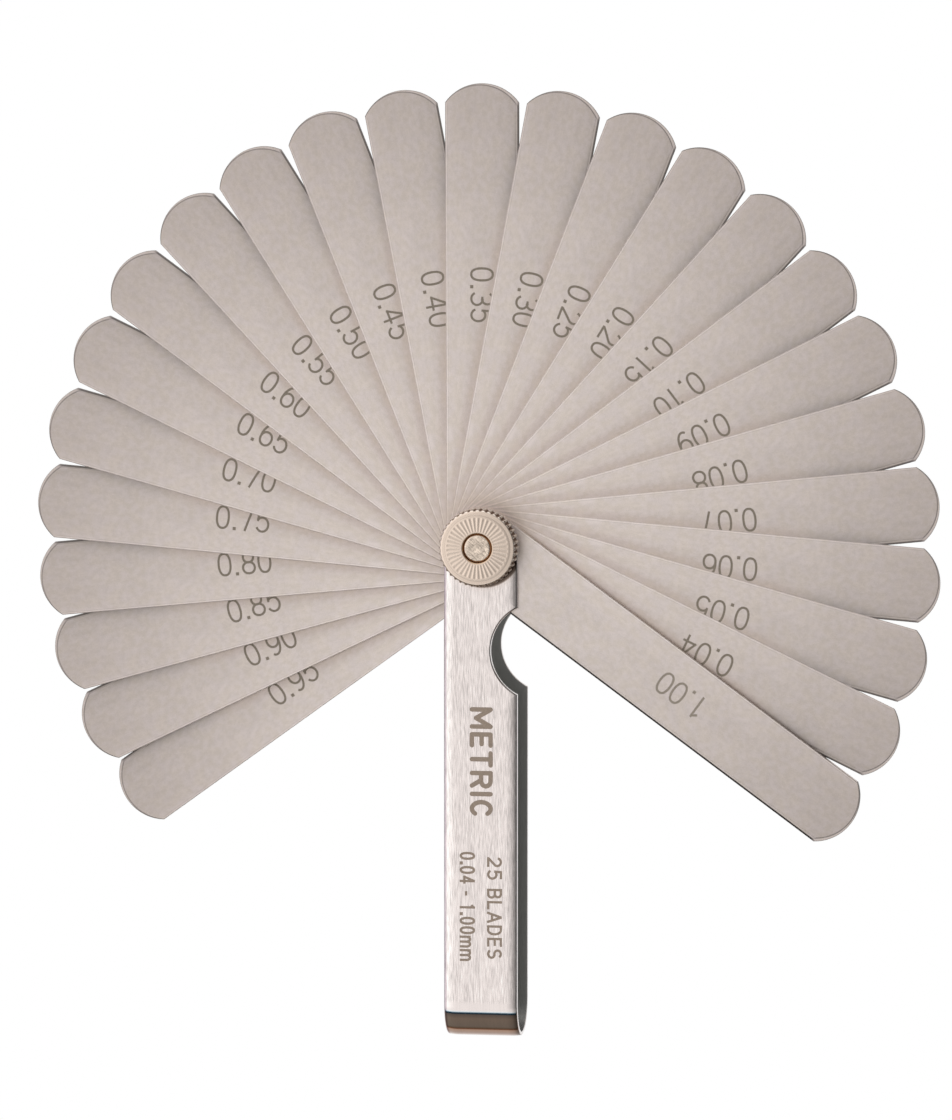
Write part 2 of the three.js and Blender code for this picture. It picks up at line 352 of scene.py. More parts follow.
def fill_plate(builder, outer, hole, strokes, place, normal, depth, material, mark_material):
    """Fill between two rings, each (indices, 2-D points), with the strokes sunk by depth.

    place(point, depth) gives a point's position and attribute.
    """
    known = list(outer[0]) + list(hole[0])
    points, edges = [], []
    for loop in [outer[1], hole[1]] + [loop for stroke in strokes for loop in stroke]:
        start = len(points)
        points += [tuple(point) for point in loop]
        edges += [(start + i, start + (i + 1) % len(loop)) for i in range(len(loop))]
    corners, _, triangles, origins, _, _ = delaunay_2d_cdt(
        [Vector(point) for point in points], edges, [], 0, 1e-6)
    corners = np.array([(corner[0], corner[1]) for corner in corners])
    triangles = np.array([list(triangle) for triangle in triangles])
    centres = corners[triangles].mean(1)
    keep = inside(outer[1], centres) & ~inside(hole[1], centres)
    triangles, centres = triangles[keep], centres[keep]
    sunk = np.zeros(len(triangles), bool)
    for stroke in strokes:
        covered = inside(stroke[0], centres)
        if len(stroke) > 1:
            covered &= ~inside(stroke[1], centres)
        sunk |= covered
    ring = {i: known[k] for i, origin in enumerate(origins) for k in origin if k < len(known)}
    made = {}

    def index(i, low):
        if not low and i in ring:
            return ring[i]
        if (i, low) not in made:
            made[i, low] = builder.point(*place(corners[i], depth if low else 0.0))
        return made[i, low]

    edge_sides = {}
    for triangle, low in zip(triangles.tolist(), sunk.tolist()):
        builder.face([index(i, low) for i in triangle], [normal] * 3,
                     mark_material if low else material)
        for i in range(3):
            edge = frozenset((triangle[i], triangle[(i + 1) % 3]))
            edge_sides.setdefault(edge, []).append((low, triangle[(i + 2) % 3]))
    # walls between face and floor, looking towards the sunk side
    for edge, sides in edge_sides.items():
        if len(sides) == 2 and sides[0][0] != sides[1][0]:
            start, end = tuple(edge)
            sunk_corner = [corner for low, corner in sides if low][0]
            quad = [index(start, False), index(end, False), index(end, True), index(start, True)]
            spots = np.array([builder.points[i] for i in quad])
            wall = np.cross(spots[1] - spots[0], spots[2] - spots[1])
            wall /= max(np.linalg.norm(wall), 1e-12)
            if wall @ (np.array(place(corners[sunk_corner], 0.0)[0]) - spots[0]) < 0:
                quad, wall = quad[::-1], -wall
            builder.face(quad, [wall] * 4, mark_material)


# ------------------------------------------------------------------ shader nodes
def operation(name, swapped=False):
    """A Wire method that adds one maths node."""
    def method(self, other=None):
        operands = (other, self) if swapped else (self, other)
        return self.graph.math(name, *operands)
    return method


class Wire:
    """A node's output. Arithmetic on wires adds maths nodes to the graph."""

    def __init__(self, graph, socket):
        self.graph, self.socket = graph, socket

    __add__ = operation("ADD")
    __radd__ = operation("ADD", swapped=True)
    __sub__ = operation("SUBTRACT")
    __rsub__ = operation("SUBTRACT", swapped=True)
    __mul__ = operation("MULTIPLY")
    __truediv__ = operation("DIVIDE")
    __abs__ = operation("ABSOLUTE")
    cosine = operation("COSINE")

    def ease(self, over, to=(0.0, 1.0), kind="SMOOTHSTEP"):
        """Carry one range over to another, clamped, with a soft start and end."""
        node = self.graph.node("ShaderNodeMapRange", interpolation_type=kind, clamp=True)
        return self.graph.feed(node, self, *over, *to)

    def linear(self, over, to):
        return self.ease(over, to, "LINEAR")

    def times(self, factors):
        """Vector or colour product, part by part."""
        return self.graph.vector("MULTIPLY", self, factors)


class Graph:
    """Short calls for building a node tree."""

    def __init__(self, tree):
        self.tree = tree

    def node(self, kind, **properties):
        node = self.tree.nodes.new(kind)
        for name, value in properties.items():
            setattr(node, name, value)
        return node

    def put(self, socket, value):
        if isinstance(value, Wire):
            self.tree.links.new(value.socket, socket)
        elif value is not None:
            socket.default_value = value

    def out(self, node, key=0):
        return Wire(self, node.outputs[key])

    def feed(self, node, *values):
        """Set a node's first inputs and return its first output."""
        for socket, value in zip(node.inputs, values):
            self.put(socket, value)
        return self.out(node)

    def math(self, name, first, second=None):
        return self.feed(self.node("ShaderNodeMath", operation=name), first, second)

    def vector(self, name, first, second):
        return self.feed(self.node("ShaderNodeVectorMath", operation=name), first, second)

    def split(self, vector):
        node = self.node("ShaderNodeSeparateXYZ")
        self.put(node.inputs[0], vector)
        return [self.out(node, i) for i in range(3)]

    def join(self, x, y, z):
        return self.feed(self.node("ShaderNodeCombineXYZ"), x, y, z)

    def distance(self, x, y):
        node = self.node("ShaderNodeVectorMath", operation="LENGTH")
        self.put(node.inputs[0], self.join(x, y, 0.0))
        return self.out(node, "Value")

    def ramp(self, value, stops):
        """Colour ramp. Stops are (position, colour), the colour a grey level, RGB or RGBA."""
        node = self.node("ShaderNodeValToRGB")
        elements = node.color_ramp.elements
        while len(elements) < len(stops):
            elements.new(1.0)
        for element, (position, color) in zip(elements, stops):
            if isinstance(color, float):
                color = (color,) * 3
            element.position = position
            element.color = color if len(color) == 4 else (*color, 1.0)
        return self.feed(node, value)

    def mix(self, factor, first, second):
        node = self.node("ShaderNodeMix", data_type="RGBA", blend_type="MIX", clamp_factor=True)
        for i, value in ((0, factor), (6, first), (7, second)):
            self.put(node.inputs[i], value)
        return self.out(node, 2)

    def noise(self, vector, scale, detail=2.0, rough=0.5, distortion=0.0):
        node = self.node("ShaderNodeTexNoise")
        self.put(node.inputs["Vector"], vector)
        node.inputs["Scale"].default_value = scale
        node.inputs["Detail"].default_value = detail
        node.inputs["Roughness"].default_value = rough
        node.inputs["Distortion"].default_value = distortion
        return self.out(node, "Fac")

    def attribute(self, name):
        return self.out(self.node("ShaderNodeAttribute", attribute_name=name), "Vector")

    def object_mm(self, body=None):
        """Object coordinates in mm, of the given body or of the object itself."""
        node = self.node("ShaderNodeTexCoord", object=body)
        return self.out(node, "Object").times((1000.0, 1000.0, 1000.0))

    def scale(self, color, factor):
        """Colour times a scalar."""
        node = self.node("ShaderNodeVectorMath", operation="SCALE")
        self.put(node.inputs[0], color[:3] if isinstance(color, tuple) else color)
        self.put(node.inputs["Scale"], factor)
        return self.out(node)

    def bump(self, height, strength, metres):
        node = self.node("ShaderNodeBump")
        node.inputs["Strength"].default_value = strength
        node.inputs["Distance"].default_value = metres
        self.put(node.inputs["Height"], height)
        return self.out(node)

    def surface(self, color, roughness, metallic, normal):
        shader = self.node("ShaderNodeBsdfPrincipled")
        self.put(shader.inputs["Base Color"], color)
        self.put(shader.inputs["Roughness"], roughness)
        self.put(shader.inputs["Metallic"], metallic)
        shader.inputs["Specular IOR Level"].default_value = 0.5
        self.put(shader.inputs["Normal"], normal)
        self.feed_output("ShaderNodeOutputMaterial", shader)

    def feed_output(self, kind, shader):
        self.tree.links.new(shader.outputs[0], self.node(kind).inputs[0])


def clear_graph(owner):
    owner.use_nodes = True
    owner.node_tree.nodes.clear()
    return Graph(owner.node_tree)


def new_material(name):
    material = bpy.data.materials.new(name)
    return material, clear_graph(material)


# ------------------------------------------------------------------ blades
# Base tone along a blade, with painted shade making it darker towards the tip: (part of 80 mm from
# the pivot, green level)
BLADE_TONES_WITH_PAINTED_SHADE = [(0.0, 207), (0.19, 206), (0.38, 203), (0.56, 200), (0.70, 195.5),
               (0.82, 189.5), (0.91, 184.5), (1.0, 182)]

# Light taken away beside a covering blade: (distance / 5 mm, share lost)
COVER_SHADE_MM = 5.0
COVER_SHADE_INNER = [(0.0, 0.19), (0.08, 0.165), (0.18, 0.14), (0.25, 0.09), (0.34, 0.035),
                     (0.50, 0.010), (1.0, 0.0)]
COVER_SHADE_TIP = [(0.0, 0.37), (0.06, 0.33), (0.14, 0.25), (0.24, 0.17), (0.36, 0.095),
                   (0.60, 0.045), (1.0, 0.0)]


def cover_light(graph, cover, along, through):
    """Light left by the blade lying in front. cover: (its body, its angle)."""
    body, angle = cover
    x, _, z = graph.split(graph.object_mm(body))
    z = z - ORIGIN[2]
    cosine, sine = math.cos(math.radians(angle)), math.sin(math.radians(angle))
    cover_along = x * cosine + z * sine
    cover_across = x * -sine + z * cosine
    past_side = abs(cover_across) - HALF_WIDTH
    past_centre = graph.math("MAXIMUM", cover_along - TIP_CENTRE, 0.0)
    past_tip = graph.distance(past_centre, cover_across) - TIP_RADIUS
    away = graph.math("MAXIMUM", graph.math("MAXIMUM", past_side, past_tip), 0.0)
    inner = graph.ramp(away / COVER_SHADE_MM, COVER_SHADE_INNER)
    tip = graph.ramp(away / COVER_SHADE_MM, COVER_SHADE_TIP)
    lost = graph.mix(along.ease(over=(48.0, 74.0)), inner, tip)
    # the loss is bluer near the pivot and neutral further out
    lost = lost.times(graph.mix(along.ease(over=(50.0, 62.0)),
                                (0.80, 1.0, 1.14, 1.0), (1.0, 1.0, 1.0, 1.0)))
    lost = graph.scale(lost, through.ease(over=(0.5, 0.0)))     # front face only
    return graph.vector("SUBTRACT", (1.0, 1.0, 1.0), lost)


def blade_material(label, cover):
    """Satin sheet steel. cover: as for cover_light, or None on the front blade."""
    material, graph = new_material("blade_satin_" + label)
    sheet = graph.attribute("sheet")        # mm along, mm across, share of the thickness
    along, across, through = graph.split(sheet)
    # base tone with painted shade, darker towards the tip
    color = graph.ramp(along / 80.0, [
        (position, srgb(green + 11.5, green, green - 6.3 + 0.03 * (190 - green)))
        for position, green in BLADE_TONES_WITH_PAINTED_SHADE])
    # fine mottled grain of the surface, and wide soft patches
    fine = graph.noise(sheet, scale=5.0, detail=3.0, rough=0.62)
    grit = graph.noise(sheet, scale=14.0, detail=1.0)
    patch = graph.noise(sheet.times((0.55, 1.0, 1.0)), scale=0.22, rough=0.55)
    cloud = graph.noise(sheet.times((0.8, 1.0, 1.0)), scale=1.1, rough=0.6)
    shade = (fine.linear(over=(0.25, 0.75), to=(-0.075, 0.075))
             + grit.linear(over=(0.25, 0.75), to=(-0.060, 0.060))
             + patch.ease(over=(0.3, 0.7), to=(-0.022, 0.022))
             + cloud.ease(over=(0.3, 0.7), to=(-0.045, 0.045)) + 1.0)
    # distance in from the side and from the tip arc
    side = HALF_WIDTH - abs(across)
    tip = TIP_RADIUS - graph.distance(along - TIP_CENTRE, across)
    at_tip = (side - tip).ease(over=(-0.4, 0.3)) * along.ease(over=(72.0, 74.0))
    # painted shade and highlight at the tip: a dark line over the groove, a lighter rim outside it,
    # and darker shade at the very edge
    line = TIP_LINE - across * TIP_LINE_LEAN
    painted_tip_line = abs(tip - line).ease(over=(0.05, 0.16), to=(1.0, 0.0)) * at_tip
    rim = (line - tip).ease(over=(0.05, 0.14)) * at_tip
    rim_end = tip.ease(over=(0.02, 0.12), to=(1.0, 0.0)) * at_tip
    rim_end_loss = across.ease(over=(-1.0, 4.0), to=(0.42, 0.66))
    # painted shade along the clockwise edge, a painted highlight along the anticlockwise edge, and a
    # thin line of painted shade just inside it
    clockwise_edge_shade = across.ease(over=(-6.13, -6.24)) * (1.0 - at_tip)
    other_edge_highlight = across.ease(over=(6.16, 6.26)) * (1.0 - at_tip)
    hairline_shade = abs(across - 6.10).ease(over=(0.03, 0.09), to=(1.0, 0.0)) * (1.0 - at_tip)
    # painted light: brighter towards the anticlockwise side
    rise = (across.ease(over=(1.0, 5.6), to=(0.0, 0.045))
            + across.ease(over=(5.2, 6.4), to=(0.0, 0.04)))
    # each factor is the share of light that one painted feature takes away or adds, as painted shade
    # and painted highlight
    shade = ((shade + rise)
             * (1.0 - painted_tip_line * 0.42)
             * (1.0 + rim * 0.16)
             * (1.0 - rim_end * rim_end_loss)
             * (1.0 - clockwise_edge_shade * (0.93 if cover is None else 0.62))
             * (1.0 + other_edge_highlight * 0.12)
             * (1.0 - hairline_shade * 0.10))
    if cover is not None:
        color = color.times(cover_light(graph, cover, along, through))
    color = graph.scale(color, shade)
    tint = graph.noise(sheet.times((0.8, 1.0, 1.0)), scale=0.55, rough=0.6)
    color = color.times(graph.mix(tint.ease(over=(0.35, 0.65)),
                                  (1.004, 1.0, 0.975, 1.0), (0.998, 1.0, 1.018, 1.0)))
    graph.surface(color, roughness=fine.ease(over=(0.3, 0.7), to=(-0.03, 0.03)) + 0.42,
                  metallic=0.92,
                  normal=graph.bump(fine + grit * 0.5, strength=0.18, metres=0.00002))
    return material


def engraving_material(name, color):
    """Floor and walls of engraved marks, mottled round the colour."""
    material, graph = new_material(name)
    mottle = graph.noise(graph.attribute("sheet"), scale=6.0, rough=0.6)
    dark, light = (tuple(part * factor for part in color[:3]) + (1.0,) for factor in (0.88, 1.1))
    graph.surface(graph.mix(mottle.ease(over=(0.3, 0.7)), dark, light), roughness=0.6,
                  metallic=0.55, normal=graph.bump(mottle, strength=0.3, metres=0.00002))
    return material


BLADE_TIP_STEPS, BLADE_PIVOT_STEPS = 56, 40


def blade_outline(inset):
    """Blade outline moved inwards. inset: a length, or a function of the place across.

    Returns (along, across) points and outward directions.
    """
    inset_at = inset if callable(inset) else (lambda across: inset)
    points, outward = [], []
    for i in range(BLADE_TIP_STEPS + 1):
        part = i / BLADE_TIP_STEPS
        move = inset_at(-HALF_WIDTH + 2 * HALF_WIDTH * part)
        radius = TIP_RADIUS - move
        half_angle = math.asin((HALF_WIDTH - move) / radius)
        angle = -half_angle + 2 * half_angle * part
        points.append((TIP_CENTRE + radius * math.cos(angle), radius * math.sin(angle)))
        outward.append((math.cos(angle), math.sin(angle)))
    for i in range(BLADE_PIVOT_STEPS + 1):
        part = i / BLADE_PIVOT_STEPS
        angle = math.pi / 2 + math.pi * i / BLADE_PIVOT_STEPS
        move = inset_at(HALF_WIDTH) * (1 - part) + inset_at(-HALF_WIDTH) * part
        radius = HALF_WIDTH - move
        points.append((radius * math.cos(angle), radius * math.sin(angle)))
        outward.append((math.cos(angle), math.sin(angle)))
    return np.array(points), np.array(outward)


def hole_outline(radius):
    points = circle(40)[1]
    return points * radius, -points


def build_blade(label, thick, angle, front_y, cover):
    builder = MeshBuilder()
    cosine, sine = math.cos(math.radians(angle)), math.sin(math.radians(angle))
    edge = min(0.04, 0.35 * thick)          # edge rounding
    groove = min(0.03, 0.18 * thick)        # depth of the groove along the tip
    hole_edge = min(0.04, 0.3 * thick)

    def turn(along, across, y):
        return (along * cosine - across * sine, y, along * sine + across * cosine)

    def place(along, across, depth):
        return turn(along, across, front_y + depth), (along, across, depth / thick)

    def ring(outline, depth, outward_part, y_part):
        points, outward = outline
        depths = np.broadcast_to(depth, len(points))
        indices = [builder.point(*place(*point, at)) for point, at in zip(points, depths)]
        normals = [turn(*(way * outward_part), y_part) for way in outward]
        return indices, normals, points

    def tip_line(across):
        return TIP_LINE - TIP_LINE_LEAN * across

    # the groove runs along the tip arc and fades over four points at each end
    step = np.arange(BLADE_TIP_STEPS + BLADE_PIVOT_STEPS + 2)
    dip = groove * np.clip(np.minimum(step, BLADE_TIP_STEPS - step) / 4.0, 0.0, 1.0)
    levels = [
        ring(blade_outline(lambda across: tip_line(across) + 0.16), 0.0, 0, -1),
        ring(blade_outline(lambda across: tip_line(across) + 0.05), dip, 0.25, -1),
        ring(blade_outline(lambda across: max(tip_line(across) - 0.05, edge + 0.06)),
             dip * 0.4, -0.1, -1),
        ring(blade_outline(edge + 0.03), dip * 0.9, 0.08, -1),
    ]
    for slope in (0, 30, 60, 90):
        sin, cos = math.sin(math.radians(slope)), math.cos(math.radians(slope))
        rim_drop = dip * 0.9 * (0.9 if slope < 45 else 0.3)
        levels.append(ring(blade_outline(edge * (1 - sin)), edge * (1 - cos) + rim_drop,
                           sin, -cos))
    for slope in (90, 60, 30, 0):
        sin, cos = math.sin(math.radians(slope)), math.cos(math.radians(slope))
        levels.append(ring(blade_outline(edge * (1 - sin)), thick - edge * (1 - cos), sin, cos))
    hole = [ring(hole_outline(HOLE_RADIUS + hole_edge), 0.0, 0, -1),
            ring(hole_outline(HOLE_RADIUS), hole_edge, 1, 0),
            ring(hole_outline(HOLE_RADIUS), thick - hole_edge, 1, 0),
            ring(hole_outline(HOLE_RADIUS + hole_edge), thick, 0, 1)]
    for rings in (levels, hole):
        for first, second in zip(rings, rings[1:]):
            builder.band(first, second)
    # the engraved size reads towards the pivot, tops to the clockwise side
    strokes = text_loops(label.replace("_", "."), height=4.2, digit_width=2.5, stroke=0.40,
                         gap=0.36, dot_gap=0.62, dot=0.56)
    strokes = [[loop * (-1, -1) + (43.6, 0.1) for loop in stroke] for stroke in strokes]
    fill_plate(builder, levels[0][::2], hole[0][::2], strokes,
               lambda point, depth: place(*point, depth), normal=(0, -1, 0),
               depth=min(0.02, 0.25 * thick), material=0, mark_material=1)
    fill_plate(builder, levels[-1][::2], hole[-1][::2], [],
               lambda point, depth: place(*point, thick), normal=(0, 1, 0),
               depth=0, material=0, mark_material=1)
    builder.turn_to_normals()
    mark = BLADE_MARK if cover else FRONT_BLADE_MARK
    return builder.build("vis_blade_" + label, [blade_material(label, cover), mark], "sheet")


# ------------------------------------------------------------------ holder
# A place on the sheet is (x, run, rise): run is the length along the sheet, 0 where the front
# plate meets the bend and BEND_RUN where the bend meets the back plate; rise is the height
# outwards from the middle of the sheet.
BEND_STEPS = 56
PLATES = [(0.0, -BEND_DROP), (BEND_RUN, BEND_RUN + BEND_DROP)]  # runs of lower end and pivot
BODY, INSIDE, CUT_EDGE, MARK = range(4)                         # material slots


def holder_place(x, run, rise):
    """Position and attribute of a place on the sheet."""
    radius = MID + rise
    if run <= 0:
        position = (x, -radius, -BEND_DROP - run)
    elif run < BEND_RUN:
        angle = run / MID
        position = (x, -radius * math.cos(angle), -BEND_DROP - radius * math.sin(angle))
    else:
        position = (x, radius, -BEND_DROP + (run - BEND_RUN))
    return position, (x, run, rise)


def holder_axes(run):
    """Outward sheet normal and the direction of growing run."""
    angle = min(max(run / MID, 0.0), math.pi)
    cosine, sine = math.cos(angle), math.sin(angle)
    return np.array((0, -cosine, -sine)), np.array((0, sine, -cosine))


def plate_side(inset):
    """Outline of one plate: up the notched edge (+x), over the top, down the plain edge.

    Rows are (x, height above the bend, outward x, outward height).
    """
    edge_x = HALF_WIDTH - inset
    radius = NOTCH_RADIUS + inset
    notch = NOTCH_Z + BEND_DROP
    half_chord = math.sqrt(radius * radius - (NOTCH_X - edge_x) ** 2)
    low, high = notch - half_chord, notch + half_chord
    start = math.atan2(low - notch, edge_x - NOTCH_X) % (2 * math.pi)
    end = math.atan2(high - notch, edge_x - NOTCH_X) % (2 * math.pi)
    rows = [(edge_x, low * i / 12, 1, 0) for i in range(12)]
    rows.append((edge_x, low - 1e-4, 1, 0))
    for i in range(49):
        angle = start + (end - start) * i / 48
        cosine, sine = math.cos(angle), math.sin(angle)
        rows.append((NOTCH_X + radius * cosine, notch + radius * sine, -cosine, -sine))
    rows.append((edge_x, high + 1e-4, 1, 0))
    for i in range(57):
        cosine, sine = math.cos(math.pi * i / 56), math.sin(math.pi * i / 56)
        rows.append((edge_x * cosine, BEND_DROP + edge_x * sine, cosine, sine))
    rows += [(-edge_x, BEND_DROP * (1 - i / 12), -1, 0) for i in range(1, 13)]
    return rows


def holder_outline(inset):
    """Whole outline of the unfolded sheet: rows of (x, run, outward x, outward run)."""
    side = plate_side(inset)
    edge_x = HALF_WIDTH - inset
    outline = [(x, -height, out_x, -out_height) for x, height, out_x, out_height in side]
    outline += [(-edge_x, BEND_RUN * i / BEND_STEPS, -1, 0) for i in range(1, BEND_STEPS)]
    outline += [(x, BEND_RUN + height, *outward) for x, height, *outward in side[::-1]]
    outline += [(edge_x, BEND_RUN * i / BEND_STEPS, 1, 0) for i in range(BEND_STEPS - 1, 0, -1)]
    return outline


def holder_marks():
    """Engraving of the front plate, reading down with the tops towards +x."""
    lines = [
        # x of the middle, z of both ends, lettering
        (0.15, (-28.2, -47.6), dict(text="METRIC", height=4.1, digit_width=3.0, stroke=0.80,
                                    gap=0.55, dot_gap=0.5, rounded=True, length=19.4)),
        (-2.3, (-53.7, -73.0), dict(text="0.04 - 1.00mm", height=2.74, digit_width=1.55,
                                    stroke=0.42, gap=0.27, dot_gap=0.30, length=19.3)),
        (2.5, (-54.5, -72.5), dict(text="25 BLADES", height=2.66, digit_width=1.6,
                                   stroke=0.42, gap=0.36, dot_gap=0.3, length=18.0)),
    ]
    strokes = []
    for mid_x, ends, lettering in lines:
        mid_z = sum(ends) / 2
        for stroke in text_loops(**lettering):
            strokes.append([np.array([(mid_x + y, x - mid_z - BEND_DROP) for x, y in loop])
                            for loop in stroke])
    return strokes


def build_holder():
    builder = MeshBuilder()
    half = SHEET / 2
    outer_edge, inner_edge = 0.30, 0.10     # edge roundings
    roll_width, roll = 1.9, 0.13            # the straight edges roll over before the corner
    lean = 2 * roll / (roll_width - outer_edge)

    def level(inset, rise, outward_part, normal_part, rolled=0.0, tilt=0.0):
        """One ring. rolled, tilt: drop and lean added along the straight edges only."""
        indices, normals = [], []
        outline = holder_outline(inset)
        for x, run, out_x, out_run in outline:
            normal, forward = holder_axes(run)
            straight = abs(out_x) > 0.999 and abs(abs(x) - (HALF_WIDTH - inset)) < 1e-9
            position, _ = holder_place(x, run, rise - rolled * straight)
            indices.append(builder.point(position, (x, run, rise)))
            outward = out_x * np.array((1, 0, 0)) + out_run * forward
            normals.append((outward_part + tilt * straight) * outward + normal_part * normal)
        return indices, normals, outline

    levels = []
    for i in range(6):
        part = i / 6
        levels.append(level(roll_width + (outer_edge - roll_width) * part, half, 0.0, 1.0,
                            roll * part * part, lean * part))
    for slope in (0, 12, 26, 42, 58, 74, 90):
        sin, cos = math.sin(math.radians(slope)), math.cos(math.radians(slope))
        levels.append(level(outer_edge * (1 - sin), half - outer_edge * (1 - cos), sin, cos,
                            roll, lean * cos))
    first_cut = len(levels) - 4             # the steep part of the rounding shows as cut edge
    levels.append(level(0.0, -half + inner_edge, 1, 0))
    for slope in (30, 60, 90):
        sin, cos = math.sin(math.radians(slope)), math.cos(math.radians(slope))
        levels.append(level(inner_edge * (1 - cos), -half + inner_edge * (1 - sin), cos, -sin))
    for k, (first, second) in enumerate(zip(levels, levels[1:])):
        builder.band(first, second, BODY if k < first_cut else CUT_EDGE)

    side_count = len(plate_side(outer_edge))
    back_start = side_count + BEND_STEPS - 1
    parts = [slice(0, side_count), slice(back_start, back_start + side_count)]
    angles, round_points = circle(48)
    hole_rings = [[], []]                   # of the front and back plates

    def fill(ring, rise, sign, material, front_strokes):
        """Fill the bend and both plates of one face. sign: 1 on the outside, -1 inside."""
        indices, _, outline = ring
        points = np.array([row[:2] for row in outline])
        for i in range(BEND_STEPS):
            left = side_count - 1 + i
            quad = [left, left + 1, -i - 1, -i]     # the +x side runs back from the ring's start
            builder.face([indices[k] for k in quad],
                         [holder_axes(points[k][1])[0] * sign for k in quad], material)
        for plate, (part, strokes) in enumerate(zip(parts, (front_strokes, []))):
            pivot_run = PLATES[plate][1]
            rim = round_points * (HOLE_RADIUS + 0.05) + np.array((0.0, pivot_run))
            rim_indices = [builder.point(*holder_place(*point, rise)) for point in rim]
            hole_rings[plate].append(rim_indices)

            def place(point, depth):
                return holder_place(*point, rise - sign * depth)[0], (*point, rise)

            fill_plate(builder, (indices[part], points[part]), (rim_indices, rim), strokes,
                       place, normal=holder_axes(pivot_run)[0] * sign, depth=0.03,
                       material=material, mark_material=MARK)

    fill(levels[0], half, 1.0, BODY, holder_marks())
    fill(levels[-1], -half, -1.0, INSIDE, [])
    for (_, pivot_run), (outer_ring, inner_ring) in zip(PLATES, hole_rings):
        forward = holder_axes(pivot_run)[1]
        wall = [-(math.cos(angle) * np.array((1, 0, 0)) + math.sin(angle) * forward)
                for angle in angles]
        middle = []
        for rise in (half - 0.05, -half + 0.05):
            middle.append([builder.point(
                holder_place(HOLE_RADIUS * x, HOLE_RADIUS * y + pivot_run, rise)[0], (0, 0, 0))
                for x, y in round_points])
        rings = [outer_ring, *middle, inner_ring]
        for first, second in zip(rings, rings[1:]):
            builder.band((first, wall), (second, wall), CUT_EDGE)
    builder.turn_to_normals()
    materials = [holder_material(), holder_inner_material(), holder_edge_material(), HOLDER_MARK]
    return builder.build("vis_holder", materials, "sheet")


def brushed(graph, sheet, strength):
    """Fine grain running along the sheet: (height, shade round 1)."""
    coarse = graph.noise(sheet.times((7.0, 0.32, 1.0)), scale=1.0, detail=1.0, distortion=0.1)
    fine = graph.noise(sheet.times((12.5, 0.55, 1.0)), scale=1.0, detail=1.0, distortion=0.1)
    grain = coarse * 0.22 + fine * 0.78
    return grain, grain.linear(over=(0.30, 0.70), to=(1.0 - strength, 1.0 + strength))


# Painted shade, highlights and shadows on the outside of the holder: (distance / span, grey or RGB
# factor)
EDGE_SPAN = 2.0
NOTCHED_EDGE_SHADE = [(0.0, 0.30), (0.10, 0.26), (0.20, 0.38), (0.30, 0.52), (0.38, 0.66),
                (0.50, 0.80), (0.66, 0.90), (0.85, 0.97), (1.0, 1.0)]
PLAIN_EDGE_REFLECTION = [(0.0, (0.68, 0.64, 0.70)), (0.20, (0.66, 0.62, 0.68)), (0.25, (0.90, 0.90, 0.92)),
              (0.30, (1.09, 1.13, 1.14)), (0.45, (1.10, 1.13, 1.13)), (0.70, (1.04, 1.05, 1.05)),
              (1.0, 1.0)]
NUT_CAST = [(0.0, (0.17, 0.14, 0.12)), (0.45, (0.19, 0.155, 0.13)), (0.53, (0.50, 0.45, 0.41)),
            (0.60, (0.97, 0.95, 0.93)), (1.0, 1.0)]
NUT_CONTACT = [(0.0, (0.30, 0.26, 0.23)), (0.10, (0.45, 0.41, 0.38)), (0.28, (0.93, 0.92, 0.91)),
               (0.5, 1.0)]


def holder_material():
    """Outside of the holder: the bend is bright and smooth, the plates brushed."""
    material, graph = new_material("holder_brushed")
    sheet = graph.attribute("sheet")
    x, run, _ = graph.split(sheet)
    bend = run.ease(over=(-0.5, 0.2)) * run.ease(over=(BEND_RUN + 0.5, BEND_RUN - 0.2))
    flat = 1.0 - bend
    grain, shade = brushed(graph, sheet, strength=0.34)
    shade = shade * run.ease(over=(-70.0, -10.0), to=(0.965, 1.0))
    shade = 1.0 + (shade - 1.0) * (0.12 + flat * 0.88)      # the bend keeps 0.12 of it
    wide = graph.noise(sheet.times((0.8, 0.05, 1.0)), scale=1.0)
    shade = shade * wide.ease(over=(0.3, 0.7), to=(0.985, 1.02))
    color = graph.scale(srgb(232, 222, 218), shade)
    # painted shade: a dark blend on the notched side; painted reflection: a pale line and a thin
    # grey one on the plain side
    color = color.times(graph.ramp((HALF_WIDTH - x) / EDGE_SPAN, NOTCHED_EDGE_SHADE))
    color = color.times(graph.ramp((HALF_WIDTH + x) / EDGE_SPAN, PLAIN_EDGE_REFLECTION))
    # painted shade: a dark line along the notch of both plates
    mid_run = BEND_RUN / 2
    past_notch = abs(run - mid_run) - (mid_run + NOTCH_Z + BEND_DROP)
    notch_gap = graph.distance(x - NOTCH_X, past_notch) - NOTCH_RADIUS
    color = graph.scale(color, notch_gap.ease(over=(0.31, 0.20), to=(1.0, 0.40)))
    # shade of the nut: a narrow ring all round, wider towards the lower right
    cast = graph.distance(x - 0.38, (run + BEND_DROP) - 0.26) - 6.90
    contact = graph.distance(x, run + BEND_DROP) - 6.80
    color = color.times(graph.ramp(cast / 2.0 + 0.5, NUT_CAST))
    color = color.times(graph.ramp(contact / 1.0, NUT_CONTACT))
    # roughness: 0.07 on the bend, 0.17 more and the grain on the plates
    roughness = (grain.ease(over=(0.3, 0.7), to=(-0.05, 0.05)) + 0.17) * flat + 0.07
    graph.surface(color, roughness, metallic=1.0,
                  normal=graph.bump(grain * flat, strength=0.12, metres=0.00002))
    return material


def holder_inner_material():
    material, graph = new_material("holder_inner")
    grain, shade = brushed(graph, graph.attribute("sheet"), strength=0.06)
    # the inside face is a darker copy of the steel: painted shade for the inside of the holder
    graph.surface(graph.scale(srgb(158, 158, 155), shade), roughness=0.40, metallic=1.0,
                  normal=graph.bump(grain, strength=0.3, metres=0.00002))
    return material


